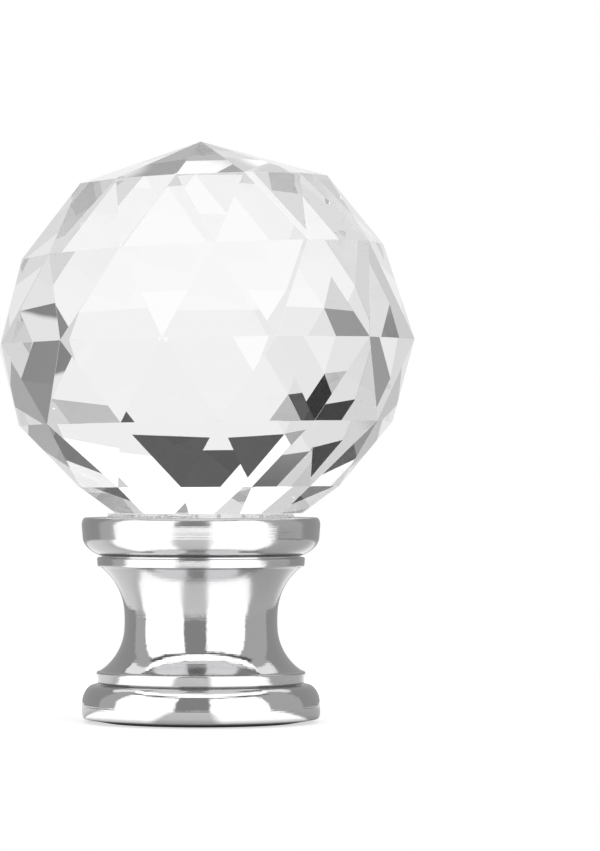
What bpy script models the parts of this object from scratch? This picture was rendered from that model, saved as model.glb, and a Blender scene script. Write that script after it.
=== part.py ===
"""Lamp shade finial: a faceted crystal ball on a turned, chrome-plated base.

The base is one piece of turned metal. From the bottom up it has a round foot, a thin ring, a waisted
neck, a second ring and a flat-topped cup, and a blind tapped hole in its underside screws it onto a
lamp harp. The ball is one piece of clear glass, cut by hand in rings of twelve facets and bonded to
the cup by its flat. It stands a little off the base's axis and leans back over it, as in life.

Units are metres, +Z is up, and the origin is on the base's axis at the underside of the foot.
"""

import math
from collections import namedtuple

import bmesh
import bpy

MM = 0.001

# Turned base: the heights of its members, from the foot up
FOOT_HEIGHT = 2.48 * MM
LOWER_RING_HEIGHT = 0.77 * MM
NECK_HEIGHT = 6.87 * MM
UPPER_RING_HEIGHT = 0.62 * MM
CUP_HEIGHT = 2.51 * MM
GROOVE_HEIGHT = 0.08 * MM

# Turned base: the radii of its members
FOOT_RADIUS = 7.85 * MM
FOOT_UNDERSIDE_RADIUS = 6.30 * MM
LOWER_RING_RADIUS = 6.86 * MM
WAIST_RADIUS = 5.02 * MM
UPPER_RING_RADIUS = 6.83 * MM
CUP_RADIUS = 7.83 * MM
CUP_TOP_RADIUS = 7.60 * MM

# Turned base: the roundings and bevels of its edges
FOOT_ROUNDING = 0.88 * MM
FOOT_BEVEL_HEIGHT = 0.25 * MM
FOOT_BEVEL_OVERHANG = 0.17 * MM
RING_EDGE = 0.12 * MM
RING_STEP = 0.18 * MM
CUP_FLARE = 2.30 * MM

# Turned base: where the foot, the waist and the cup are straight, as shares of their own heights
FOOT_BELLY = 0.42
WAIST_START = 0.44
WAIST_END = 0.53
CUP_BELLY = 0.54
CUP_SHOULDER = 0.80

# Turned base: how far round an ellipse the neck's flares and the cup's underside run
NECK_SWEEP = math.radians(58)
CUP_SWEEP = math.radians(65)

# Tapped hole for a 1/4-27 lamp harp screw, with the usual 60 degree thread
THREAD_RADIUS = 25.4 / 4 / 2 * MM
THREAD_PITCH = 25.4 / 27 * MM
THREAD_SHARP_HEIGHT = THREAD_PITCH * math.cos(math.radians(30))
THREAD_MINOR_RADIUS = THREAD_RADIUS - THREAD_SHARP_HEIGHT * 5 / 8
THREAD_DEPTH = 9.2 * MM
DRILL_RUNOUT = 0.9 * MM
DRILL_STEP = 0.15 * MM
DRILL_POINT_ANGLE = math.radians(118)
DRILL_TIP_SHARE = 0.15
MOUTH_CHAMFER = 0.35 * MM
CUTTER_OVERRUN = 0.3 * MM

# Crystal ball: its radius is that of the twelve corners round its middle
BALL_RADIUS = 13.91 * MM
BALL_SIDES = 12
BALL_TURN = math.radians(-11.2)
BALL_LEAN = math.radians(1.1)
BALL_OFFSET = 0.25 * MM
SEAT_GAP = 0.3 * MM

# Crystal ball, in shares of its radius: how far its tip and its flat are from its middle, and how far
# the corners of the flat are from its axis
TIP_SHARE = 0.951
FLAT_DROP_SHARE = 0.803
FLAT_CORNER_SHARE = 0.454

# Crystal ball: its rings of corners, with height and radius as shares of the ball's. Every other ring
# is turned by half a side, and each has the small tilt that the cutter left it with, in degrees
Ring = namedtuple("Ring", "height radius half_sides tilt")
RINGS = (
    Ring(height=0.761, radius=0.601, half_sides=0, tilt=2.1),
    Ring(height=0.430, radius=0.856, half_sides=1, tilt=2.6),
    Ring(height=0.000, radius=1.000, half_sides=0, tilt=0.8),
    Ring(height=-0.380, radius=0.884, half_sides=1, tilt=0.7),
    Ring(height=-0.678, radius=0.629, half_sides=0, tilt=0.3),
)

# How finely round shapes are divided
TURNED_STEPS = 60
THREAD_STEPS = 24
ARC_STEPS = 5
EDGE_STEPS = 2
SMOOTH_ANGLE = math.radians(35)
SAME_PLACE = 0.0001 * MM

RINGS_AND_GROOVES = LOWER_RING_HEIGHT + UPPER_RING_HEIGHT + 2 * GROOVE_HEIGHT
BASE_HEIGHT = FOOT_HEIGHT + NECK_HEIGHT + CUP_HEIGHT + RINGS_AND_GROOVES


def clear_scene():
    for old in list(bpy.data.objects):
        bpy.data.objects.remove(old, do_unlink=True)


def add_object(name, bm):
    """Make an object from a bmesh, with its faces pointing out."""
    bmesh.ops.recalc_face_normals(bm, faces=bm.faces)
    mesh = bpy.data.meshes.new(name)
    bm.to_mesh(mesh)
    bm.free()
    part = bpy.data.objects.new(name, mesh)
    bpy.context.scene.collection.objects.link(part)
    return part


def shader_of(part, name):
    """Give a part its own material and return its shader."""
    made = bpy.data.materials.new(name)
    made.use_nodes = True
    part.data.materials.append(made)
    return made.node_tree.nodes["Principled BSDF"]


def cut_level(bm, height, upward):
    """Cut away what is above or below a level plane, and close the cut with a flat face."""
    bmesh.ops.bisect_plane(
        bm,
        geom=bm.verts[:] + bm.edges[:] + bm.faces[:],
        dist=SAME_PLACE,
        plane_co=(0, 0, height),
        plane_no=(0, 0, 1 if upward else -1),
        clear_outer=True,
    )
    level = [
        edge for edge in bm.edges
        if edge.is_boundary and all(abs(corner.co.z - height) < SAME_PLACE for corner in edge.verts)
    ]
    bmesh.ops.contextual_create(bm, geom=level)


def turned(name, profile, steps):
    """Spin a profile of (radius, height) points round the Z axis and close its two ends."""
    bm = bmesh.new()
    corners = [bm.verts.new((radius, 0, height)) for radius, height in profile]
    edges = [bm.edges.new(pair) for pair in zip(corners, corners[1:])]
    bmesh.ops.spin(
        bm,
        geom=corners + edges,
        cent=(0, 0, 0),
        axis=(0, 0, 1),
        angle=2 * math.pi,
        steps=steps,
        use_merge=True,
    )
    bmesh.ops.holes_fill(bm, edges=[edge for edge in bm.edges if edge.is_boundary])
    return add_object(name, bm)


def arc(middle, across, up, start, end, steps):
    """Points (radius, height) on an elliptical arc, by its angles from the outward level."""
    angles = [start + (end - start) * i / steps for i in range(steps + 1)]
    return [(middle[0] + across * math.cos(a), middle[1] + up * math.sin(a)) for a in angles]


def rounding_below(middle, across, up, steps):
    return arc(middle, across, up, math.radians(-90), 0, steps)


def rounding_above(middle, across, up, steps):
    return arc(middle, across, up, 0, math.radians(90), steps)


def foot_profile():
    """The foot: a low bevel under a rounded edge."""
    belly = FOOT_HEIGHT * FOOT_BELLY
    bevel = FOOT_RADIUS - FOOT_BEVEL_OVERHANG
    shoulder = FOOT_RADIUS - FOOT_ROUNDING
    below = rounding_below((bevel, belly), FOOT_BEVEL_OVERHANG, belly - FOOT_BEVEL_HEIGHT, ARC_STEPS)
    above = rounding_above((shoulder, belly), FOOT_ROUNDING, FOOT_HEIGHT - belly, ARC_STEPS)
    return [(FOOT_UNDERSIDE_RADIUS, 0.0)] + below + above[1:]


def groove_profile(radius, bottom):
    """The narrow groove that parts a ring from the foot or the cup."""
    return [(radius, bottom), (radius, bottom + GROOVE_HEIGHT)]


def ring_profile(radius, bottom, height):
    """A thin ring with softened edges."""
    middle = radius - RING_EDGE
    below = rounding_below((middle, bottom + RING_EDGE), RING_EDGE, RING_EDGE, EDGE_STEPS)
    above = rounding_above((middle, bottom + height - RING_EDGE), RING_EDGE, RING_EDGE, EDGE_STEPS)
    return below + above


def neck_flare(waist_height, end_height, end_radius):
    """The flare from the waist to a ring: part of an ellipse, left before it turns level."""
    across = (end_radius - WAIST_RADIUS) / (1 - math.cos(NECK_SWEEP))
    up = (end_height - waist_height) / math.sin(NECK_SWEEP)
    return arc((WAIST_RADIUS + across, waist_height), -across, up, 0, NECK_SWEEP, ARC_STEPS + 1)


def neck_profile(bottom):
    """The waisted neck, from the top of the lower ring to the bottom of the upper one."""
    top = bottom + NECK_HEIGHT
    below = neck_flare(bottom + WAIST_START * NECK_HEIGHT, bottom, LOWER_RING_RADIUS - RING_STEP)
    above = neck_flare(bottom + WAIST_END * NECK_HEIGHT, top, UPPER_RING_RADIUS - RING_STEP)
    return below[::-1] + above


def cup_profile(bottom):
    """The cup, flaring from the groove, with a softly broken edge round its flat top."""
    belly = bottom + CUP_HEIGHT * CUP_BELLY
    shoulder = bottom + CUP_HEIGHT * CUP_SHOULDER
    drop = (belly - bottom) / math.sin(CUP_SWEEP)
    below = arc((CUP_RADIUS - CUP_FLARE, belly), CUP_FLARE, drop, -CUP_SWEEP, 0, ARC_STEPS)
    edge = CUP_RADIUS - CUP_TOP_RADIUS
    above = rounding_above((CUP_TOP_RADIUS, shoulder), edge, bottom + CUP_HEIGHT - shoulder, ARC_STEPS)
    return below + above


def base_profile():
    """Half the base's section, from its underside up its outer side to its top."""
    height = FOOT_HEIGHT
    points = foot_profile()
    points += groove_profile(LOWER_RING_RADIUS - RING_STEP, height)
    height += GROOVE_HEIGHT
    points += ring_profile(LOWER_RING_RADIUS, height, LOWER_RING_HEIGHT)
    height += LOWER_RING_HEIGHT
    points += neck_profile(height)
    height += NECK_HEIGHT
    points += ring_profile(UPPER_RING_RADIUS, height, UPPER_RING_HEIGHT)
    height += UPPER_RING_HEIGHT
    cup = cup_profile(height + GROOVE_HEIGHT)
    points += groove_profile(cup[0][0], height)
    points += cup[1:]
    return points


def thread_tap():
    """The shape that the tap cuts: a right-hand screw that runs out past the mouth of the hole."""
    crest = THREAD_PITCH / 8
    root = THREAD_PITCH / 4
    flank = (THREAD_PITCH - crest - root) / 2
    tooth = (
        (THREAD_MINOR_RADIUS, 0.0),
        (THREAD_MINOR_RADIUS, root),
        (THREAD_RADIUS, root + flank),
        (THREAD_RADIUS, root + flank + crest),
    )
    start = -2 * THREAD_PITCH
    turns = math.ceil((THREAD_DEPTH - start) / THREAD_PITCH) + 1
    bm = bmesh.new()
    rows = []
    for i in range(turns * THREAD_STEPS + 1):
        turn = 2 * math.pi * i / THREAD_STEPS
        lift = start + THREAD_PITCH * i / THREAD_STEPS
        row = []
        for radius, height in tooth:
            row.append(bm.verts.new((radius * math.cos(turn), radius * math.sin(turn), lift + height)))
        rows.append(row)
    for row, ahead in zip(rows, rows[1:]):
        for k in range(len(tooth) - 1):
            bm.faces.new((row[k], ahead[k], ahead[k + 1], row[k + 1]))
    for i in range(len(rows) - THREAD_STEPS - 1):
        over = rows[i + THREAD_STEPS][0]
        over_ahead = rows[i + THREAD_STEPS + 1][0]
        bm.faces.new((rows[i][-1], rows[i + 1][-1], over_ahead, over))
    cut_level(bm, -CUTTER_OVERRUN, upward=False)
    cut_level(bm, THREAD_DEPTH, upward=True)
    return add_object("thread_tap", bm)


def tap_drill():
    """The drill that goes before the tap and past it, with its point."""
    radius = THREAD_MINOR_RADIUS - DRILL_STEP
    top = THREAD_DEPTH + DRILL_RUNOUT
    tip = radius * DRILL_TIP_SHARE
    point = (radius - tip) / math.tan(DRILL_POINT_ANGLE / 2)
    profile = [(radius, -2 * CUTTER_OVERRUN), (radius, top), (tip, top + point)]
    return turned("tap_drill", profile, THREAD_STEPS)


def mouth_countersink():
    """The countersink that breaks the edge of the hole."""
    wide = THREAD_RADIUS + MOUTH_CHAMFER + CUTTER_OVERRUN
    narrow = THREAD_MINOR_RADIUS - DRILL_STEP / 2
    profile = [(wide, -CUTTER_OVERRUN), (narrow, wide - narrow - CUTTER_OVERRUN)]
    return turned("mouth_countersink", profile, TURNED_STEPS)


def cut(part, cutter):
    cutter.hide_render = True
    cutter.display_type = "WIRE"
    boolean = part.modifiers.new("cut by " + cutter.name, "BOOLEAN")
    boolean.operation = "DIFFERENCE"
    boolean.solver = "EXACT"
    boolean.object = cutter


def make_base():
    base = turned("metal_base", base_profile(), TURNED_STEPS)
    cut(base, thread_tap())
    cut(base, tap_drill())
    cut(base, mouth_countersink())
    base.data.shade_smooth()
    base.data.set_sharp_from_angle(angle=SMOOTH_ANGLE)
    chrome = shader_of(base, "chrome_plate")
    chrome.inputs["Base Color"].default_value = (0.80, 0.80, 0.81, 1.0)
    chrome.inputs["Metallic"].default_value = 1.0
    chrome.inputs["Roughness"].default_value = 0.06


def ball_corners(bm, ring):
    """The corners of one ring, about the ball's middle."""
    corners = []
    for k in range(BALL_SIDES):
        turn = BALL_TURN + 2 * math.pi * (k + ring.half_sides / 2) / BALL_SIDES
        across = BALL_RADIUS * ring.radius * math.sin(turn)
        deep = -BALL_RADIUS * ring.radius * math.cos(turn)
        slope = across * math.tan(math.radians(ring.tilt))
        corners.append(bm.verts.new((across, deep, BALL_RADIUS * ring.height + slope)))
    return corners


def facet_band(bm, upper, lower, lower_leads):
    """A band of facets between two rings of corners, pointing down and up by turns."""
    for k in range(BALL_SIDES):
        after = (k + 1) % BALL_SIDES
        bm.faces.new((upper[k], upper[after], lower[k if lower_leads else after]))
        bm.faces.new((lower[k], lower[after], upper[after if lower_leads else k]))


def lowest_ring():
    """The ring where the lowest facets end, a little below the flat that cuts them."""
    above = RINGS[-1]
    slope = (FLAT_CORNER_SHARE - above.radius) / (-FLAT_DROP_SHARE - above.height)
    height = -(1 + FLAT_DROP_SHARE) / 2
    return above._replace(height=height, radius=above.radius + slope * (height - above.height))


def make_ball():
    """The ball: a pointed crown, four bands of triangles, a band of slanting facets and a flat."""
    bm = bmesh.new()
    corners = [ball_corners(bm, ring) for ring in RINGS]
    tip = bm.verts.new((0, 0, BALL_RADIUS * TIP_SHARE))
    end = ball_corners(bm, lowest_ring())
    for k in range(BALL_SIDES):
        after = (k + 1) % BALL_SIDES
        bm.faces.new((tip, corners[0][k], corners[0][after]))
        bm.faces.new((corners[-1][k], corners[-1][after], end[after], end[k]))
    for i in range(len(RINGS) - 1):
        lower_leads = RINGS[i + 1].half_sides > RINGS[i].half_sides
        facet_band(bm, corners[i], corners[i + 1], lower_leads)

    # It leans about its middle, each height sliding sideways, and its flat stays level
    for corner in bm.verts:
        corner.co.x -= corner.co.z * math.tan(BALL_LEAN)
    cut_level(bm, -BALL_RADIUS * FLAT_DROP_SHARE, upward=False)

    ball = add_object("crystal_ball", bm)
    ball.location = (BALL_OFFSET, 0, BASE_HEIGHT + SEAT_GAP + BALL_RADIUS * FLAT_DROP_SHARE)
    glass = shader_of(ball, "crystal_glass")
    glass.inputs["Base Color"].default_value = (0.97, 0.98, 0.98, 1.0)
    glass.inputs["Roughness"].default_value = 0.0
    glass.inputs["Metallic"].default_value = 0.0
    glass.inputs["Transmission Weight"].default_value = 1.0
    glass.inputs["IOR"].default_value = 1.52


clear_scene()
make_base()
make_ball()
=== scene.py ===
# %% [markdown]
# # A crystal lamp finial in its studio
#
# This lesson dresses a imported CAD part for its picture. The part is the finial of a lamp shade: a ball of
# clear crystal, cut by hand in rings of flat facets, and bonded to a turned and chrome-plated base that
# screws onto the lamp's harp. Clear glass and bright chrome have hardly a colour of their own. What shows
# is the room, bent by the one and mirrored by the other, so half of this lesson is about the studio.
#
# The CAD part is the frame that everything else is measured from. It is loaded once and never moved.

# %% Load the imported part
import math
from collections import namedtuple

import bpy
import numpy as np
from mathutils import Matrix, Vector


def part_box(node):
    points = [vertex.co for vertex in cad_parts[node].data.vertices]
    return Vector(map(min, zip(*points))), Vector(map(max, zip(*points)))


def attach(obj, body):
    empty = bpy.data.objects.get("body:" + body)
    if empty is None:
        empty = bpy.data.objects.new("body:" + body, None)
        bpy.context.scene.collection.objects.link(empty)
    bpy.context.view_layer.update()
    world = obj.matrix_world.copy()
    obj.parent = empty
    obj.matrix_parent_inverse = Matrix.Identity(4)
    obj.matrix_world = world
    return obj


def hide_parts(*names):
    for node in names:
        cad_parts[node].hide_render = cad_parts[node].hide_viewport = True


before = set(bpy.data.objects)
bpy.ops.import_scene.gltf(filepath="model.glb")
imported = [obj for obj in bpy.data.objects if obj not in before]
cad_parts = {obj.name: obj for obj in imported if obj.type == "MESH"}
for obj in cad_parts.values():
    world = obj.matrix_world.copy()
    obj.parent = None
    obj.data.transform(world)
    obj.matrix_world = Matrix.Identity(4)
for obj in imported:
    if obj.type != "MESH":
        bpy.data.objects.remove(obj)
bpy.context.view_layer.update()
MM = 0.001


def in_mm(lengths):
    """Lengths in millimetres, rounded to be printed."""
    return [round(length / MM, 2) for length in lengths]


# %% [markdown]
# ## The camera
#
# The finial was pictured from far off with a long lens, so its upright sides stay upright. The eye is
# level with a point just above the cup: the foot is seen a little from above and the ball from below.
# Three measures settle all of it, namely the size of a pixel at the finial's axis, how far off the eye
# is in the same pixels, and where the axis, the horizon and the foot stand in the picture. The frame is
# then slid over the object with the lens shift, because turning the camera would tilt the uprights.

# %% Set the camera up
PICTURE_WIDTH = 600
PICTURE_HEIGHT = 851
PIXEL = 0.06566 * MM
EYE_DISTANCE = 4300 * PIXEL
AXIS_COLUMN = 201.0
HORIZON_ROW = 468.0
FOOT_ROW = 721.8
SENSOR = 36.0

camera_data = bpy.data.cameras.new("studio_camera")
camera_data.sensor_width = SENSOR
camera_data.lens = SENSOR * EYE_DISTANCE / (PICTURE_HEIGHT * PIXEL)
camera_data.shift_x = (PICTURE_WIDTH / 2 - AXIS_COLUMN) / PICTURE_HEIGHT
camera_data.shift_y = (HORIZON_ROW - PICTURE_HEIGHT / 2) / PICTURE_HEIGHT
camera_data.clip_start = 0.01
camera_data.clip_end = 50
camera = bpy.data.objects.new("studio_camera", camera_data)
bpy.context.scene.collection.objects.link(camera)
camera.location = (0, -EYE_DISTANCE, (FOOT_ROW - HORIZON_ROW) * PIXEL)
camera.rotation_euler = (math.radians(90), 0, 0)
bpy.context.scene.camera = camera
print("Lens:", round(camera_data.lens, 1), "mm, eye", round(camera.location.z / MM, 1), "mm up")

# %% [markdown]
# ## Sums in the shader
#
# The studio and the finishes below are all worked out by shader nodes. Wiring Math nodes one by one hides
# the thought, so a small class wraps a node's output: a sum written on it in plain Python adds the Math
# nodes for it. Every other node comes from one method, which takes its type, its settings and its inputs.


# %% A socket that does sums
class Signal:
    """One output of a shader node, which can be used in sums."""

    def __init__(self, socket):
        self.socket = socket

    def node(self, kind, settings, inputs, output=0):
        """Add a node beside this one, set it, feed it, and return one of its outputs."""
        made = self.socket.id_data.nodes.new(kind)
        for name, value in settings.items():
            setattr(made, name, value)
        for name, value in inputs.items():
            if isinstance(value, Signal):
                value.feed(made.inputs[name])
            else:
                made.inputs[name].default_value = value
        return Signal(made.outputs[output])

    def feed(self, socket):
        """Link this output to an input of the same tree."""
        self.socket.id_data.links.new(self.socket, socket)

    def math(self, operation, *values):
        return self.node("ShaderNodeMath", {"operation": operation}, dict(enumerate(values)))

    def __add__(self, other):
        return self.math("ADD", self, other)

    def __radd__(self, other):
        return self.math("ADD", other, self)

    def __sub__(self, other):
        return self.math("SUBTRACT", self, other)

    def __rsub__(self, other):
        return self.math("SUBTRACT", other, self)

    def __mul__(self, other):
        return self.math("MULTIPLY", self, other)

    def __rmul__(self, other):
        return self.math("MULTIPLY", other, self)

    def step(self, start, end):
        """Rise smoothly from 0 to 1 as this value goes from start to end."""
        settings = {"interpolation_type": "SMOOTHSTEP"}
        inputs = {"Value": self, "From Min": start, "From Max": end, "To Min": 0.0, "To Max": 1.0}
        return self.node("ShaderNodeMapRange", settings, inputs)

    def within(self, low, high, soft):
        """1 between two values and 0 outside them, with soft edges."""
        rise = self.step(low - soft / 2, low + soft / 2)
        return rise * (1.0 - self.step(high - soft / 2, high + soft / 2))

    def part(self, axis):
        """The X, Y or Z of this vector."""
        return self.node("ShaderNodeSeparateXYZ", {}, {"Vector": self}, axis)

    def colour(self, red, green, blue):
        """A colour of three parts, each a number or another output."""
        return self.node("ShaderNodeCombineXYZ", {}, {"X": red, "Y": green, "Z": blue})


# %% [markdown]
# ## The studio
#
# Glass on a white ground is lit from behind. A white sheet glows behind the finial, and a dark gap is left
# round the sheet. Where the facets bend the view past the sheet's edge they find the gap, and that draws
# the crisp dark shapes that make the ball read as cut crystal. Overhead hangs a large white light. The
# sheet is not even, and its dimmer places and its cut corner are cards of their own.
#
# Chrome wants something else: two bright softboxes to the left and right of the camera, with the camera's
# own dark place between them and a dark ceiling above. A photographer shields the glass from such lamps
# with small black flags. Here the world can tell a ray that comes off the chrome from one that comes
# through glass, so a second set of cards is shown to the chrome alone. It holds those four and the lit
# paper, and the walls, the gap and the overhead light as bright as the chrome shows them.
#
# Each of these could be a lamp or a card in the scene, but then a camera that looks from another side
# would have them in its way. So they are painted on the world instead: each is a patch between two
# bearings and two heights, in degrees, laid over the one before it. A bearing is counted from the middle
# of its side, and the side is the camera's, "front", or the one behind the finial, "back". Below the
# horizon, the paper that the finial stands on is carried on in the same way.

# %% List the cards of the studio
Card = namedtuple("Card", "name side left right low high soft brightness")
WALLS = 0.65
HORIZON = -0.95
CARDS_FOR_ALL = (
    Card("walls before the object", "front", -95, 95, 20, 56, 6, 0.88),
    Card("overhead light, over the front", "front", -91, 91, 56, 91, 4, 1.4),
    Card("dark gap behind", "back", -62, 62, -6, 38, 3, 0.07),
    Card("gap beside the sheet, on the right", "back", 36, 62, -6, 25, 4, 0.22),
    Card("gap beside the sheet, on the left", "back", -64, -36, -6, 25, 4, 0.22),
    Card("overhead light, over the back", "back", -90, 90, 39, 91, 3, 1.3),
    Card("overhead light, hung lower on the right", "back", 11, 70, 34, 41, 2, 1.2),
    Card("white sheet behind", "back", -36, 35, -6, 27.3, 0.8, 0.90),
    Card("sheet's dimmer left", "back", -36, -11, -9, 21, 5, 0.84),
    Card("sheet's dimmest left", "back", -36, -19, -9, 21, 5, 0.77),
    Card("sheet's dimmer corner", "back", 22.5, 33, 21, 29.5, 2, 0.52),
    Card("sheet's cut corner", "back", 32, 37, 22.5, 34, 1, 0.08),
    Card("sheet's grey top, on the left", "back", -22.3, -12, 26, 30, 1.5, 0.5),
    Card("blackest corner of the gap", "back", -36.5, -22.5, 20, 38, 1.5, 0.0),
    Card("paper before the object", "front", -181, 181, -91, HORIZON, 0.1, 0.66),
    Card("paper behind", "back", -62, 62, -91, HORIZON, 0.1, 0.84),
    Card("paper in the shade, on the right", "back", 62, 125, -50, HORIZON, 2, 0.12),
    Card("paper behind, lit by the sheet", "back", -28, 28, -91, -4, 10, 0.96),
    Card("sheet's bright foot", "back", -13, 13, -5.5, -1.5, 1, 1.0),
)
CARDS_FOR_CHROME = (
    Card("walls, as chrome shows them", "front", -125, 125, -10, 56, 5, 0.62),
    Card("gap behind, as chrome shows it", "back", -64, 64, -10, 38, 4, 0.42),
    Card("overhead light, as chrome shows it", "front", -181, 181, 54, 91, 3, 2.2),
    Card("dark ceiling before the light", "front", -100, 100, 48, 54, 3, 0.15),
    Card("camera's own dark place", "front", -30, 13, -8, 52, 4, 0.38),
    Card("left softbox", "front", -92, -26, -8, 48, 4, 2.0),
    Card("right softbox", "front", 9, 70, -8, 48, 4, 2.0),
    Card("paper lit before the camera", "front", -92, 78, -15, -7, 2, 1.9),
)
print("Studio cards:", len(CARDS_FOR_ALL), "for all and", len(CARDS_FOR_CHROME), "for the chrome")

# %% [markdown]
# The Light Path node tells how a ray has come. One off the chrome is known as glossy but not singular,
# because the glass is perfectly sharp and the chrome is not quite.
#
# A ray that has bounced in the glass many times would show sharp black and white splinters of the studio.
# In real glass each facet is a little wavy, so after so many bounces little is left but the studio's mean
# light. From its third bounce to its sixth, a ray fades into that. The paper and the chrome are evened out
# for it in the same way.

# %% Ask how a ray has come
SHARP_BOUNCES = 3
BLURRED_BOUNCES = 6
MEAN_LIGHT = 0.67


def light_path(tree):
    """All that the Light Path node tells, by name."""
    outputs = tree.nodes.new("ShaderNodeLightPath").outputs
    return {name: Signal(output) for name, output in outputs.items()}


def off_chrome(path):
    """1 for a ray that comes off the chrome, and 0 for any other."""
    return path["Is Glossy Ray"] * (1.0 - path["Is Singular Ray"])


def blur(path):
    """0 for a ray of few bounces, and 1 for one of so many that the mean light alone is left."""
    return path["Ray Depth"].step(SHARP_BOUNCES, BLURRED_BOUNCES)


# %% Paint the studio on the world
IN_DEGREES = math.degrees(1)

world = bpy.data.worlds.new("studio")
world.use_nodes = True
world_nodes = world.node_tree.nodes
world_path = light_path(world.node_tree)
direction = Signal(world_nodes.new("ShaderNodeTexCoord").outputs["Generated"])
sideways = direction.part("X")
onwards = direction.part("Y")
elevation = direction.math("ARCSINE", direction.part("Z")) * IN_DEGREES
bearings = {
    "back": direction.math("ARCTAN2", sideways, onwards) * IN_DEGREES,
    "front": direction.math("ARCTAN2", sideways, 0.0 - onwards) * IN_DEGREES,
}


def lay_cards(glow, cards, share):
    """Lay cards over what glows already, seen by a share of the rays."""
    for card in cards:
        mask = bearings[card.side].within(card.left, card.right, card.soft)
        mask = mask * elevation.within(card.low, card.high, card.soft)
        glow = glow + (card.brightness - glow) * mask * share
    return glow


studio = lay_cards(WALLS, CARDS_FOR_ALL, 1.0)
studio = lay_cards(studio, CARDS_FOR_CHROME, off_chrome(world_path))
studio = studio + (MEAN_LIGHT - studio) * blur(world_path)
print("World nodes:", len(world_nodes))

# %% [markdown]
# What the camera sees past the object is plain white, as on a cut-out picture. Only light that has met the
# glass, the chrome or the floor sees the studio itself.

# %% Give the camera a plain white background
background = world_nodes["Background"]
background.inputs["Color"].default_value = (1, 1, 1, 1)
strength = studio + (1.0 - studio) * world_path["Is Camera Ray"]
strength.feed(background.inputs["Strength"])
bpy.context.scene.world = world
bpy.context.scene.view_settings.view_transform = "Standard"

# %% [markdown]
# A ray can bounce about in a cut ball many times before it finds its way out. One that is given up before
# it is out ends black, and such rays fill the ball with black specks. Even 48 bounces leave some of them,
# so far more are allowed here. That makes the render only a little slower, because most rays are out
# after a few.

# %% Let light bounce long enough
MOST_BOUNCES = 200

cycles = bpy.context.scene.cycles
cycles.max_bounces = MOST_BOUNCES
cycles.glossy_bounces = MOST_BOUNCES
cycles.transmission_bounces = MOST_BOUNCES
cycles.transparent_max_bounces = 16

# %% [markdown]
# ## Small helpers
#
# Operators act on all that is selected, so each step starts by selecting nothing and then picks its own
# piece. Two more helpers make a material with plain values on its shader, and ask for the place of each
# point on a piece, which every pattern below is laid out by.

# %% Helpers for pieces and materials
def select_nothing():
    """Leave edit mode and select no object, because operators act on all that is selected."""
    if bpy.context.mode != "OBJECT":
        bpy.ops.object.mode_set(mode="OBJECT")
    bpy.ops.object.select_all(action="DESELECT")


def edit(piece):
    """Select one piece alone and go into its edit mode."""
    select_nothing()
    bpy.context.view_layer.objects.active = piece
    piece.select_set(True)
    bpy.ops.object.mode_set(mode="EDIT")


def new_shader(name, **values):
    """A new material and its Principled shader, set to plain values."""
    made = bpy.data.materials.new(name)
    made.use_nodes = True
    shader = made.node_tree.nodes["Principled BSDF"]
    for socket, value in values.items():
        shader.inputs[socket.replace("_", " ")].default_value = value
    return made, shader


def place_on(material):
    """The place of each point of the material's piece, from the middle of the finial's underside."""
    return Signal(material.node_tree.nodes.new("ShaderNodeTexCoord").outputs["Object"])


# %% [markdown]
# ## The floor
#
# The finial stands on a small round table of pale, matt paper, a hair's breadth under the foot so that the
# two surfaces don't fight for the same place. Past its edge the paper painted on the world carries on.

# %% Lay the floor
FLOOR_RADIUS = 0.06
FLOOR_DROP = 0.02 * MM

select_nothing()
bpy.ops.mesh.primitive_circle_add(
    vertices=128, radius=FLOOR_RADIUS, fill_type="NGON", location=(0, 0, -FLOOR_DROP)
)
floor = bpy.context.object
floor.name = "floor"
bpy.ops.object.transform_apply(location=True)
print("Floor:", 2 * FLOOR_RADIUS, "m across")

# %% [markdown]
# The lamps light the paper unevenly, by bearing and by distance from the axis, so those come first. What
# the cut ball does to the light is laid out about one spot on the paper behind it.

# %% Find bearings and distances on the paper
SPOT_RIGHT = 1.4 * MM
SPOT_AWAY = 37.5 * MM


def distance(right, away):
    """The straight way to a point that is so far to the right and so far away."""
    return right.math("SQRT", right * right + away * away)


paper, paper_shader = new_shader("pale_paper", Roughness=0.9, Specular_IOR_Level=0.0, Emission_Strength=1.0)
paper_path = light_path(paper.node_tree)
place = place_on(paper)
right = place.part("X")
away = place.part("Y")
behind = place.math("ARCTAN2", right, away) * IN_DEGREES
before = place.math("ARCTAN2", right, 0.0 - away) * IN_DEGREES
from_axis = distance(right, away)
from_spot = distance(right - SPOT_RIGHT, away - SPOT_AWAY)

# %% [markdown]
# The sheet throws a pool of light on the paper behind the object. The ball is a lens, which throws a
# burning spot there, with the ball's own shadow as a ring round it. Those two are shown through the glass
# alone, because from any other side they would look like a stain.

# %% Light the paper behind the object
SHEET_POOL = 0.16
SPOT = 0.5
SPOT_CORE = 1.5 * MM
SPOT_EDGE = 4.2 * MM
RING_INSIDE = 3.8 * MM
RING_OUTSIDE = 7.8 * MM
RING_SOFT = 1.4 * MM

seen = paper_path["Is Camera Ray"]
mirrored = off_chrome(paper_path)
through_glass = (1.0 - seen) * (1.0 - mirrored)
sheet_pool = behind.within(-30, 30, 18) * SHEET_POOL
burning_spot = (1.0 - from_spot.step(SPOT_CORE, SPOT_EDGE)) * through_glass * SPOT
ball_shadow = from_spot.within(RING_INSIDE, RING_OUTSIDE, RING_SOFT) * through_glass

# %% [markdown]
# The two softboxes throw pools on the paper before the object, at the bearings of their cards. The chrome
# alone is given to see them, with a fainter light between them and the faintest all round. Close to the
# foot it sees none of these.

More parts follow.
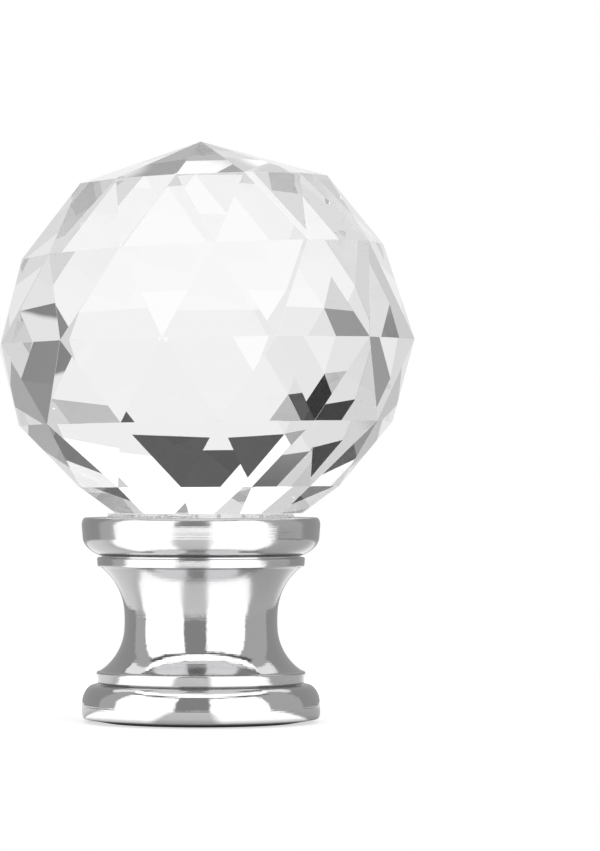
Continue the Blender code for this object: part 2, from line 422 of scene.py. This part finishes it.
# %% Light the paper before the object
LAMP_POOLS = 1.25
POOLS_START = 7.4 * MM
POOLS_FULL = 9.2 * MM
BETWEEN_LAMPS = 0.3
ALL_ROUND = 0.2
FAINT_START = 6.5 * MM
FAINT_FULL = 10 * MM

lamp_pools = before.within(-92, -26, 8) + before.within(9, 70, 8)
lamp_pools = lamp_pools * from_axis.step(POOLS_START, POOLS_FULL) * LAMP_POOLS
faint_light = before.within(-30, 13, 20) * BETWEEN_LAMPS + ALL_ROUND
faint_light = faint_light * from_axis.step(FAINT_START, FAINT_FULL)

# %% [markdown]
# On the camera's side the paper is given painted shade in its colour. To the camera all of it is lifted to
# nearly the white of the background, and the painted shade most, so that little more than the soft shadow
# round the foot is left. To a ray of many bounces the paper is hardly more than the mean light.

# %% Put the paper together
PAPER_TONE = 0.80
PAINTED_SHADE_ON_CAMERA_SIDE = 0.35
RING_DARKNESS = 0.4
CAMERA_LIFT = 0.35
CAMERA_LIFT_OF_PAINTED_SHADE = 0.3

# The camera's side of the paper is darkened in its colour, as painted shade.
camera_side_shade_mask = before.within(-100, 140, 30)
blurred = blur(paper_path)
paper_glow = (sheet_pool + burning_spot) * (1.0 - blurred)
paper_glow = paper_glow + (lamp_pools + faint_light) * mirrored
paper_glow = paper_glow + seen * (camera_side_shade_mask * CAMERA_LIFT_OF_PAINTED_SHADE + CAMERA_LIFT)
paper_glow = paper_glow + blurred * MEAN_LIGHT
paper_glow.feed(paper_shader.inputs["Emission Color"])
# The paper's colour is its own tone, less the painted shade on the camera's side and the painted shadow
# ring of the ball.
shade = (PAPER_TONE - camera_side_shade_mask * PAINTED_SHADE_ON_CAMERA_SIDE - ball_shadow * RING_DARKNESS) * (1.0 - blurred)
shade.colour(shade, shade, shade).feed(paper_shader.inputs["Base Color"])
floor.data.materials.append(paper)

# %% [markdown]
# ## The crystal ball
#
# A cutter starts from a round blank and grinds one flat after another on it, each held against the wheel
# at its own angle until it meets its neighbours in clean points. A ball like this could be made from a
# list of corners, but cutting it as the cutter does gives true flats and corners that meet of themselves.
# The angles are not guessed: they are read from the facets of the CAD ball, of which each flat is a plane
# with a direction and a distance. Its triangles are sorted into those planes first.

# %% Read the facets of the CAD ball
SAME_DIRECTION = math.cos(math.radians(0.5))


def facet_planes(node):
    """The planes of a solid's flat faces: each a point on it and the direction that it faces."""
    found = []
    for face in sorted(node.data.polygons, key=lambda face: -face.area):
        weighted = face.area * face.center
        for plane in found:
            if plane["normal"].dot(face.normal) > SAME_DIRECTION:
                plane["area"] += face.area
                plane["sum"] += weighted
                break
        else:
            found.append({"normal": face.normal.copy(), "area": face.area, "sum": weighted})
    return [(plane["sum"] / plane["area"], plane["normal"]) for plane in found]


facets = facet_planes(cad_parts["crystal_ball"])
ball_low, ball_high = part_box("crystal_ball")
ball_centre = (ball_low + ball_high) / 2
print("Facets to cut:", len(facets), "about a centre", in_mm(ball_centre))

# %% [markdown]
# Each flat is one bisect: the blank is cut by the facet's plane, what is outside is thrown away and the
# cut is filled with one flat face. After the last cut nothing of the blank's round skin is left.

# %% Cut the ball from a round blank
BLANK_SPARE = 1.25
CUT_SNAP = 0.001 * MM
CORNER_MERGE = 0.004 * MM

select_nothing()
blank_radius = BLANK_SPARE * max(ball_high - ball_low) / 2
bpy.ops.mesh.primitive_ico_sphere_add(subdivisions=3, radius=blank_radius, location=ball_centre)
crystal = bpy.context.object
crystal.name = "cut_crystal"
bpy.ops.object.transform_apply(location=True, rotation=True, scale=True)
edit(crystal)
for point, normal in facets:
    bpy.ops.mesh.select_all(action="SELECT")
    bpy.ops.mesh.bisect(
        plane_co=point, plane_no=normal, use_fill=True, clear_outer=True, threshold=CUT_SNAP
    )
bpy.ops.mesh.select_all(action="SELECT")
bpy.ops.mesh.remove_doubles(threshold=CORNER_MERGE)
bpy.ops.mesh.select_all(action="SELECT")
bpy.ops.mesh.normals_make_consistent(inside=False)
bpy.ops.object.mode_set(mode="OBJECT")
print("Cut crystal:", len(crystal.data.polygons), "faces and", len(crystal.data.vertices), "corners")

# %% [markdown]
# No edge of real cut glass is perfectly sharp. The polishing wheel leaves a chamfer a hundredth or two of
# a millimetre wide on each one, which catches the light as a hairline. A bevel of that width makes it. Its
# offset is counted from the edge to either side, so the chamfer comes out nearly twice as wide as that.

# %% Take the sharpness off the edges
ARRIS = 0.008 * MM

edit(crystal)
bpy.ops.mesh.select_all(action="SELECT")
bpy.ops.mesh.bevel(offset=ARRIS, offset_type="OFFSET", segments=1, affect="EDGES", clamp_overlap=True)
bpy.ops.object.mode_set(mode="OBJECT")
print("With its edges softened:", len(crystal.data.polygons), "faces")

# %% [markdown]
# The glass itself is see-through by plain values: full transmission, no roughness and the index of
# refraction of optical glass. Hand polishing leaves each flat very slightly wavy, and a broad bump that is
# too faint to see by itself lets the lines that show through it wander a little.

# %% Make the glass
WAVE_SCALE = 260.0
WAVE_DEPTH = 0.002 * MM

glass, glass_shader = new_shader(
    "crystal_glass",
    Base_Color=(1.0, 1.0, 1.0, 1),
    Roughness=0.0,
    IOR=1.52,
    Transmission_Weight=1.0,
)
on_glass = place_on(glass)
wave_inputs = {"Vector": on_glass, "Scale": WAVE_SCALE, "Detail": 1.0, "Roughness": 0.4}
waves = on_glass.node("ShaderNodeTexNoise", {}, wave_inputs)
wavy = waves.node("ShaderNodeBump", {}, {"Strength": 1.0, "Distance": WAVE_DEPTH, "Height": waves})
wavy.feed(glass_shader.inputs["Normal"])
crystal.data.materials.append(glass)
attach(crystal, "root")
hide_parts("crystal_ball")

# %% [markdown]
# ## The turned base
#
# The base is turned from bar: a profile, spun about its axis. The CAD base was spun the same way from a
# profile in the plane y = 0, so its corners there give the profile back, from the edge of the underside
# up to the top of the cup. They are put in order from the bottom up. Where two lie at the same height, on
# the little steps beside the rings, the one nearer to the last point comes first.

# %% Read the profile of the CAD base
ON_PLANE = 0.001 * MM
OUTSIDE_THE_HOLE = 4.5 * MM
DECIMALS = 7


def outer_profile(node):
    """The corners of a turned solid's outer side, as (radius, height) from the bottom up."""
    corners = {
        (round(vertex.co.x, DECIMALS), round(vertex.co.z, DECIMALS))
        for vertex in node.data.vertices
        if abs(vertex.co.y) < ON_PLANE and vertex.co.x > OUTSIDE_THE_HOLE
    }
    levels = sorted({height for _, height in corners})
    ordered = []
    for level in levels:
        here = [corner for corner in corners if corner[1] == level]
        last = ordered[-1][0] if ordered else 0.0
        ordered += sorted(here, key=lambda corner: abs(corner[0] - last))
    return np.array(ordered)


cad_profile = outer_profile(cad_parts["metal_base"])
print("Profile corners:", len(cad_profile), "up to", round(cad_profile[-1, 1] / MM, 2), "mm")

# %% [markdown]
# On the CAD base the sides of the cup and of the two rings are upright. Upright chrome would mirror the
# dark place round the camera, but the real one is white there, as if it mirrored the bright paper. Sides
# that lean out by a few degrees towards the top do that, and a turner can give them any lean. The angle is
# a guess. Each side is leaned in at its foot, so nothing grows past the CAD base, and what is under a
# side, down to its root, is drawn in with it.

# %% Lean the upright sides
SIDE_LEAN = math.tan(math.radians(4.5))
Side = namedtuple("Side", "root foot top")
UPRIGHT_SIDES = (
    Side(2.56 * MM, 2.56 * MM, 3.33 * MM),
    Side(10.20 * MM, 10.20 * MM, 10.82 * MM),
    Side(10.95 * MM, 12.25 * MM, 12.92 * MM),
)


def leaned(points):
    """The profile with its upright sides leaned out at the top."""
    moved = points.copy()
    for root, foot, top in UPRIGHT_SIDES:
        for i, (radius, height) in enumerate(points):
            if foot <= height <= top:
                moved[i, 0] -= SIDE_LEAN * (top - height)
            elif root < height < foot:
                moved[i, 0] -= SIDE_LEAN * (top - foot) * (height - root) / (foot - root)
    return moved


profile = leaned(cad_profile)
print("Leaned in by up to", round((cad_profile - profile).max() / MM, 3), "mm")

# %% [markdown]
# Chrome shows every facet, so the coarse profile is drawn again as smooth curves. It is parted at its real
# corners, where it turns sharply, and between them each stretch becomes a curve that leaves every point
# in the direction that an arc through its neighbours would. A long straight wall keeps its own direction,
# so the curve beside it flows into it without a ripple.

# %% Draw the profile smooth
CORNER_TURN = math.radians(32)
PIECES_PER_STRETCH = 4
STRAIGHT_RATIO = 1.9


def unit(vector):
    return vector / np.linalg.norm(vector)


def smooth_stretch(points):
    """Points on a smooth curve through the given ones."""
    if len(points) < 3:
        return points
    chords = np.diff(points, axis=0)
    lengths = np.linalg.norm(chords, axis=1)
    ways = chords / lengths[:, None]
    tangents = [None] * len(points)
    for i in range(1, len(points) - 1):
        if lengths[i] > STRAIGHT_RATIO * lengths[i - 1]:
            tangents[i] = ways[i]
        elif lengths[i - 1] > STRAIGHT_RATIO * lengths[i]:
            tangents[i] = ways[i - 1]
        else:
            tangents[i] = unit(ways[i - 1] * lengths[i] + ways[i] * lengths[i - 1])
    tangents[0] = 2 * np.dot(ways[0], tangents[1]) * ways[0] - tangents[1]
    tangents[-1] = 2 * np.dot(ways[-1], tangents[-2]) * ways[-1] - tangents[-2]
    drawn = [points[0]]
    for i in range(len(chords)):
        for step in range(1, PIECES_PER_STRETCH + 1):
            t = step / PIECES_PER_STRETCH
            leaving = (t**3 - 2 * t**2 + t) * lengths[i] * tangents[i]
            arriving = (t**3 - t**2) * lengths[i] * tangents[i + 1]
            start = (2 * t**3 - 3 * t**2 + 1) * points[i] + leaving
            end = (3 * t**2 - 2 * t**3) * points[i + 1] + arriving
            drawn.append(start + end)
    return np.array(drawn)


def smooth_profile(points):
    """The whole profile, kept sharp at its corners and smooth between, with the number of stretches."""
    chords = np.diff(points, axis=0)
    angles = np.unwrap(np.arctan2(chords[:, 1], chords[:, 0]))
    corners = [0]
    for i in range(len(angles) - 1):
        if abs(angles[i + 1] - angles[i]) > CORNER_TURN:
            corners.append(i + 1)
    corners.append(len(points) - 1)
    drawn = [points[:1]]
    for start, end in zip(corners, corners[1:]):
        drawn.append(smooth_stretch(points[start:end + 1])[1:])
    return np.concatenate(drawn), len(corners) - 1


fine_profile, stretches = smooth_profile(profile)
print("Smooth profile:", len(fine_profile), "points in", stretches, "stretches")

# %% [markdown]
# The smooth profile is drawn as by hand. A small plane is merged to one point, and that is extruded from
# point to point, which leaves a line of edges. Spun once round, its first and last copies are merged, and
# its two open ends are filled: the underside, which the hole is cut into, and the flat top of the cup.

# %% Spin the base
TURNED_STEPS = 180
SEAM_MERGE = 0.0005 * MM

points = [Vector((radius, 0.0, height)) for radius, height in fine_profile]
select_nothing()
bpy.ops.mesh.primitive_plane_add(size=MM, location=points[0])
turning = bpy.context.object
turning.name = "chrome_turning"
bpy.ops.object.transform_apply(location=True)
edit(turning)
bpy.ops.mesh.select_all(action="SELECT")
bpy.ops.mesh.merge(type="CENTER")
for start, end in zip(points, points[1:]):
    bpy.ops.mesh.extrude_region_move(TRANSFORM_OT_translate={"value": end - start})
bpy.ops.mesh.select_all(action="SELECT")
bpy.ops.mesh.spin(steps=TURNED_STEPS, angle=2 * math.pi, center=(0, 0, 0), axis=(0, 0, 1))
bpy.ops.mesh.select_all(action="SELECT")
bpy.ops.mesh.remove_doubles(threshold=SEAM_MERGE)
bpy.ops.mesh.select_all(action="DESELECT")
bpy.ops.mesh.select_non_manifold(extend=False, use_wire=False, use_boundary=True)
bpy.ops.mesh.fill_holes(sides=0)
bpy.ops.mesh.select_all(action="SELECT")
bpy.ops.mesh.normals_make_consistent(inside=False)
bpy.ops.object.mode_set(mode="OBJECT")
print("Turned:", len(turning.data.polygons), "faces")

# %% [markdown]
# The tapped hole is taken over from the CAD base. A plug a little wider than the hole has the CAD base cut
# out of it. What is left is the shape of the air in the hole, thread and all, and that is cut out of the
# new turning.

# %% Cut the tapped hole
PLUG_RADIUS = 4.4 * MM
PLUG_LOW = -1.0 * MM
PLUG_HIGH = 11.6 * MM
PLUG_MIDDLE = (PLUG_HIGH + PLUG_LOW) / 2


def cut(piece, cutter):
    """Cut one piece by another, and throw the cutter away."""
    select_nothing()
    bpy.context.view_layer.objects.active = piece
    piece.select_set(True)
    boolean = piece.modifiers.new("cut", "BOOLEAN")
    boolean.operation = "DIFFERENCE"
    boolean.solver = "EXACT"
    boolean.object = cutter
    bpy.ops.object.modifier_apply(modifier=boolean.name)
    bpy.data.objects.remove(cutter)


cad_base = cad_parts["metal_base"]
core = bpy.data.objects.new("hole_core", cad_base.data.copy())
bpy.context.scene.collection.objects.link(core)
edit(core)
bpy.ops.mesh.select_all(action="SELECT")
bpy.ops.mesh.remove_doubles(threshold=SEAM_MERGE)
select_nothing()
bpy.ops.mesh.primitive_cylinder_add(
    vertices=64, radius=PLUG_RADIUS, depth=PLUG_HIGH - PLUG_LOW, location=(0, 0, PLUG_MIDDLE)
)
plug = bpy.context.object
bpy.ops.object.transform_apply(location=True)
cut(plug, core)
print("Air in the hole:", len(plug.data.polygons), "faces")
cut(turning, plug)
print("Base with its hole:", len(turning.data.polygons), "faces")

# %% [markdown]
# Smooth shading is for the curves alone. Edges that turn by more than a set angle stay crisp.

# %% Shade the base smooth
SMOOTH_ANGLE = math.radians(28)

select_nothing()
bpy.context.view_layer.objects.active = turning
turning.select_set(True)
bpy.ops.object.shade_smooth_by_angle(angle=SMOOTH_ANGLE)

# %% [markdown]
# Bright chrome is a mirror of a cool grey. To a ray of many bounces it is nearly white, so that it adds no
# dark splinters of its own. It takes the polish that the metal under it was given, so its roughness goes
# by height. The foot and the waist stand free and were buffed bright. Under the cup the wheel could not
# reach so well: the upper neck is the dullest, and the upper ring and the cup are a little less dull, so
# that what they mirror turns soft.

# %% Plate it
PLATE_GREY = 0.56
MANY_BOUNCES_GREY = 0.4
PLATE_BLUE = 0.005
WELL_BUFFED = 0.05
NECK_DULLER = 0.13
CUP_BRIGHTER = 0.03
WAIST_TOP = 6.8 * MM
DULL_NECK = 8.6 * MM
NECK_TOP = 9.9 * MM
UPPER_RING = 10.3 * MM

chrome, chrome_shader = new_shader("chrome_plate", Metallic=1.0)
grey = blur(light_path(chrome.node_tree)) * MANY_BOUNCES_GREY + PLATE_GREY
grey.colour(grey, grey, grey + PLATE_BLUE).feed(chrome_shader.inputs["Base Color"])
on_chrome = place_on(chrome)
level = on_chrome.part("Z")
duller = level.step(WAIST_TOP, DULL_NECK) * NECK_DULLER
brighter = level.step(NECK_TOP, UPPER_RING) * CUP_BRIGHTER
roughness = duller - brighter + WELL_BUFFED
roughness.feed(chrome_shader.inputs["Roughness"])

# %% [markdown]
# Two faint reliefs tell it from a perfect mirror. The lathe left rings, which go by height alone, and the
# plating grew with the fine grain of orange peel. Neither is seen as such, but the edges of what the chrome
# mirrors turn a little ragged.

# %% Add the rings and the grain
RELIEF = 0.009 * MM
GRAIN_SCALE = 2200.0
RING_SCALE = 2600.0
GRAIN_SHARE = 0.7
RING_SHARE = 0.3

grain = on_chrome.node("ShaderNodeTexNoise", {}, {"Vector": on_chrome, "Scale": GRAIN_SCALE, "Detail": 1.0})
ring_inputs = {"W": level * RING_SCALE, "Detail": 1.0}
rings = on_chrome.node("ShaderNodeTexNoise", {"noise_dimensions": "1D"}, ring_inputs)
relief_height = grain * GRAIN_SHARE + rings * RING_SHARE
relief_inputs = {"Strength": 1.0, "Distance": RELIEF, "Height": relief_height}
relief = on_chrome.node("ShaderNodeBump", {}, relief_inputs)
relief.feed(chrome_shader.inputs["Normal"])
turning.data.materials.append(chrome)
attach(turning, "root")
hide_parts("metal_base")

# %% [markdown]
# ## The seam
#
# The ball is held to the cup by a film of clear resin, a quarter of a millimetre thick. It was pressed in
# as a drop and spread until it nearly reached the edge of the ball's flat, so its rim is round in section
# and wanders a little. A thin disc makes it, with its edge bevelled. Two displacements, one to the side
# and one front to back, let the rim wander and leave the film as thick as it is.

# %% Press the resin flat
FILM_RADIUS = 6.1 * MM
FILM_LOW = 13.43 * MM
FILM_HIGH = 13.69 * MM
FILM_MIDDLE = (FILM_HIGH + FILM_LOW) / 2
FILM_THICKNESS = FILM_HIGH - FILM_LOW
RIM_BEVEL = 0.42
RIM_MERGE = 0.01 * MM
FILM_WANDER = 0.5 * MM
WANDER_LENGTH = 1.7 * MM

select_nothing()
bpy.ops.mesh.primitive_cylinder_add(
    vertices=96, radius=FILM_RADIUS, depth=FILM_THICKNESS, location=(0, 0, FILM_MIDDLE)
)
film = bpy.context.object
film.name = "resin_film"
bpy.ops.object.transform_apply(location=True)
edit(film)
bpy.ops.mesh.select_all(action="SELECT")
bpy.ops.mesh.bevel(offset=RIM_BEVEL * FILM_THICKNESS, segments=3, affect="EDGES", clamp_overlap=True)
bpy.ops.mesh.select_all(action="SELECT")
bpy.ops.mesh.remove_doubles(threshold=RIM_MERGE)
bpy.ops.object.mode_set(mode="OBJECT")
for way in ("X", "Y"):
    wander = bpy.data.textures.new("wander_" + way, "CLOUDS")
    wander.noise_scale = WANDER_LENGTH
    displace = film.modifiers.new("wander", "DISPLACE")
    displace.texture = wander
    displace.direction = way
    displace.strength = FILM_WANDER
    bpy.ops.object.modifier_apply(modifier=displace.name)
bpy.ops.object.shade_smooth_by_angle(angle=SMOOTH_ANGLE)
film_reach = max(math.hypot(vertex.co.x, vertex.co.y) for vertex in film.data.vertices)
print("Resin film:", len(film.data.polygons), "faces, out to", round(film_reach / MM, 2), "mm")

# %% [markdown]
# The resin is nearly as clear as the crystal, with the faintest trace of yellow in clouds.

# %% Make the resin
RESIN_INDEX = 1.5
CLOUD_SCALE = 900.0
YELLOWING = 0.01

resin, resin_shader = new_shader("clear_resin", Roughness=0.0, IOR=RESIN_INDEX, Transmission_Weight=1.0)
in_resin = place_on(resin)
clouds = in_resin.node("ShaderNodeTexNoise", {}, {"Vector": in_resin, "Scale": CLOUD_SCALE, "Detail": 2.0})
yellowed = clouds.colour(1.0, 1.0, 1.0 - clouds * YELLOWING)
yellowed.feed(resin_shader.inputs["Base Color"])
film.data.materials.append(resin)
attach(film, "root")

# %% [markdown]
# Air was caught in the film near its rim, in bubbles that were pressed flat between the cup and the ball.
# One is modelled, a ball with its top and bottom cut off flat, and the others are copies of it in their
# own places and sizes. It is modelled with a radius of a millimetre, so the scale of each copy is its own
# radius in millimetres.

# %% Model one bubble
BUBBLE_CUT = 0.6

select_nothing()
bpy.ops.mesh.primitive_ico_sphere_add(subdivisions=4, radius=MM, location=(0, 0, 0))
bubble = bpy.context.object
edit(bubble)
for side in (-1, 1):
    bpy.ops.mesh.select_all(action="SELECT")
    bpy.ops.mesh.bisect(
        plane_co=(0, 0, side * BUBBLE_CUT * MM), plane_no=(0, 0, side), use_fill=True, clear_outer=True
    )
bpy.ops.object.mode_set(mode="OBJECT")
bpy.ops.object.shade_smooth_by_angle(angle=SMOOTH_ANGLE)

# %% Copy it round the rim
BUBBLES = 21
BUBBLE_SEED = 7
BUBBLE_STRAY = 0.8
BUBBLE_REACH = (5.35 * MM, 5.65 * MM)
BUBBLE_SIZE = (0.10, 0.17)

draw = np.random.default_rng(BUBBLE_SEED)
copies = []
for number in range(BUBBLES):
    turn = 2 * math.pi * (number + draw.uniform(0.0, BUBBLE_STRAY)) / BUBBLES
    reach = draw.uniform(*BUBBLE_REACH)
    copy = bpy.data.objects.new("bubble", bubble.data.copy())
    bpy.context.scene.collection.objects.link(copy)
    copy.location = (reach * math.cos(turn), reach * math.sin(turn), FILM_MIDDLE)
    copy.scale = [draw.uniform(*BUBBLE_SIZE)] * 3
    copies.append(copy)
bpy.data.objects.remove(bubble)
select_nothing()
for copy in copies:
    copy.select_set(True)
bubbles = copies[0]
bpy.context.view_layer.objects.active = bubbles
bpy.ops.object.transform_apply(location=True, rotation=True, scale=True)
bpy.ops.object.join()
bubbles.name = "resin_bubbles"
print("Bubbles:", BUBBLES, "with", len(bubbles.data.polygons), "faces")

# %% [markdown]
# The wall of a bubble is where light goes from resin into air, so its index of refraction is the resin's
# turned upside down. Faint dimples keep the walls from being perfectly smooth.

# %% Fill the bubbles with air
DIMPLE_SCALE = 9000.0
DIMPLE_DEPTH = 0.002 * MM

air, air_shader = new_shader("bubble_air", Roughness=0.0, IOR=1 / RESIN_INDEX, Transmission_Weight=1.0)
in_air = place_on(air)
dimples = in_air.node("ShaderNodeTexNoise", {}, {"Vector": in_air, "Scale": DIMPLE_SCALE, "Detail": 1.0})
dimpled = in_air.node("ShaderNodeBump", {}, {"Strength": 0.5, "Distance": DIMPLE_DEPTH, "Height": dimples})
dimpled.feed(air_shader.inputs["Normal"])
bubbles.data.materials.append(air)
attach(bubbles, "root")
